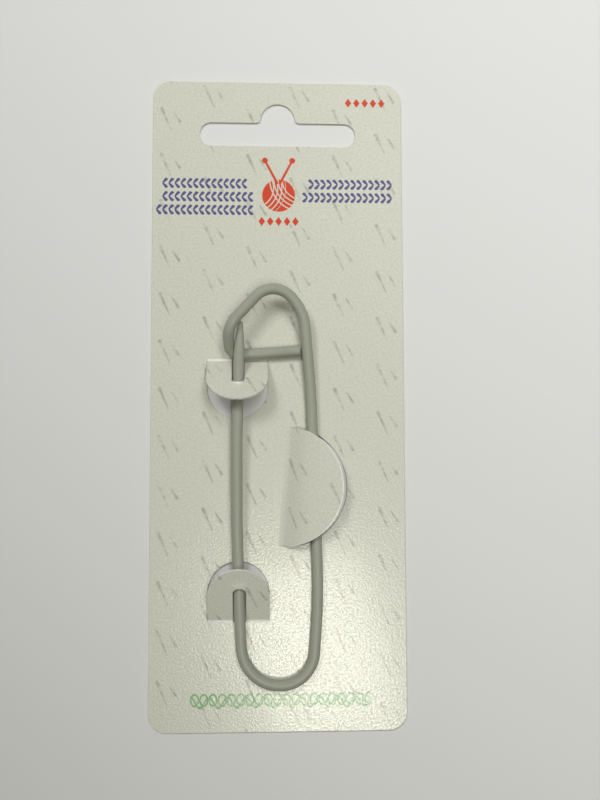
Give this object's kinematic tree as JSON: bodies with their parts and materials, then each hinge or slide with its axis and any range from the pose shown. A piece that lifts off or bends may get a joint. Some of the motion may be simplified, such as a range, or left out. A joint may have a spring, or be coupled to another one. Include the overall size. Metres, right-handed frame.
{
  "type": "stitch holder",
  "caption": "Safety-pin style stitch holder of bent wire on its hang card: the needle is threaded through slit tabs, a folded tab covers the back leg, and the hook closes over the point.",
  "frame": {"origin": "centre of the card's back face, under the middle of the card's outline; the card lies on its back", "axes": "+X across the card to the right of its printed face, +Y up the card towards the hanging hole, +Z out of the printed face"},
  "size_m": [0.051, 0.131, 0.0085],
  "materials": {
    "card": "satin",
    "tabs": "satin",
    "wire": "satin"
  },
  "bodies": {
    "card": {"backing_card": "card"},
    "needle": {"needle_wire": "wire"},
    "bow": {"bow_wire": "wire"},
    "side_tab": {"side_tab": "tabs"},
    "upper_tab": {"upper_tab": "tabs"},
    "lower_tab": {"lower_tab": "tabs"}
  },
  "joints": [
    {"name": "holder_slide", "type": "slide", "parent": "card", "child": "needle", "axis": [0, 1, 0], "range_m": [0, 0.003]},
    {"name": "bow_open", "type": "hinge", "parent": "needle", "child": "bow", "pos_m": [-0.00735, -0.0475, 0.00158], "axis": [0, 0, 1], "range_deg": [0, 3], "stiffness_Nm_per_rad": 0.3},
    {"name": "side_tab_fold", "type": "hinge", "parent": "card", "child": "side_tab", "pos_m": [0.00123, -0.01746, 0.00022], "axis": [-0.071, -0.9975, 0], "range_deg": [0, 60]},
    {"name": "upper_tab_fold", "type": "hinge", "parent": "card", "child": "upper_tab", "pos_m": [-0.00813, 0.00775, 0.00022], "axis": [-1, 0, 0], "range_deg": [0, 10]},
    {"name": "lower_tab_fold", "type": "hinge", "parent": "card", "child": "lower_tab", "pos_m": [-0.00785, -0.0439, 0.00022], "axis": [1, 0, 0], "range_deg": [0, 20]}
  ],
  "couplings": [
    {"joint": "side_tab_fold", "follows": "bow_open", "ratio": 20}
  ]
}
